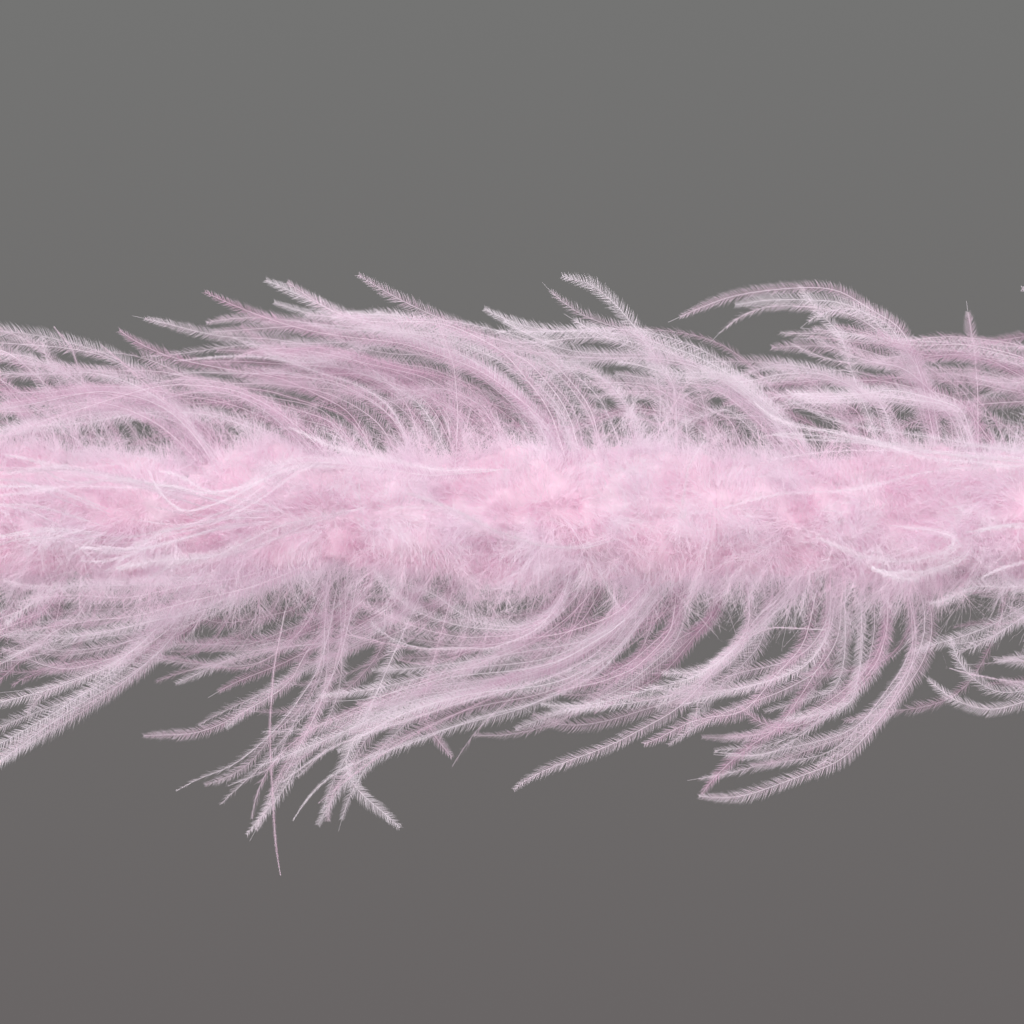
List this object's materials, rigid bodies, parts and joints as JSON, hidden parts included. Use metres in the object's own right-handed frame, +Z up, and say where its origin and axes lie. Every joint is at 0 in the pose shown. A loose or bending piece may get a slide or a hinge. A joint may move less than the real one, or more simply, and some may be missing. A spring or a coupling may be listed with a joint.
{
  "type": "feather boa",
  "caption": "Pink feather boa: a twisted two-ply core with soft marabou down, long curling ostrich flues, and a knot and hanging loop at each end.",
  "frame": {"origin": "on the core's axis at mid-length, where the boa rests on the wearer's neck", "axes": "+X along the core, against the flues' sweep; +Z up; -Y towards the viewer"},
  "size_m": [0.7399, 0.2461, 0.2598],
  "materials": {
    "core_cord": "twisted cotton yarn, dyed pink, matt",
    "thread": "sewing thread, pink, slight sheen",
    "marabou_down": "soft dyed down, pink, pale at the tips",
    "ostrich_flue": "long pale pink flues with fine barbules, silky"
  },
  "bodies": {
    "root": {"core_ply_a": "core_cord", "core_ply_b": "core_cord", "winding_thread": "thread", "whipping_left": "thread", "whipping_right": "thread", "end_knot_left": "core_cord", "end_knot_right": "core_cord", "hang_loop_left": "core_cord", "hang_loop_right": "core_cord", "marabou_section_01": "marabou_down", "marabou_section_02": "marabou_down", "marabou_section_03": "marabou_down", "marabou_section_04": "marabou_down", "marabou_section_05": "marabou_down", "marabou_section_06": "marabou_down", "marabou_section_07": "marabou_down", "marabou_section_08": "marabou_down", "marabou_section_09": "marabou_down", "marabou_section_10": "marabou_down", "tuft_tie_01": "thread", "tuft_tie_02": "thread", "tuft_tie_03": "thread", "tuft_tie_04": "thread", "tuft_tie_05": "thread", "tuft_tie_06": "thread", "tuft_tie_07": "thread", "tuft_tie_08": "thread", "tuft_tie_09": "thread", "tuft_tie_10": "thread", "tuft_tie_11": "thread", "ostrich_tuft_01": "ostrich_flue", "ostrich_tuft_02": "ostrich_flue", "ostrich_tuft_03": "ostrich_flue", "ostrich_tuft_04": "ostrich_flue", "ostrich_tuft_05": "ostrich_flue", "ostrich_tuft_06": "ostrich_flue", "ostrich_tuft_07": "ostrich_flue", "ostrich_tuft_08": "ostrich_flue", "ostrich_tuft_09": "ostrich_flue", "ostrich_tuft_10": "ostrich_flue", "ostrich_tuft_11": "ostrich_flue"}
  },
  "joints": []
}
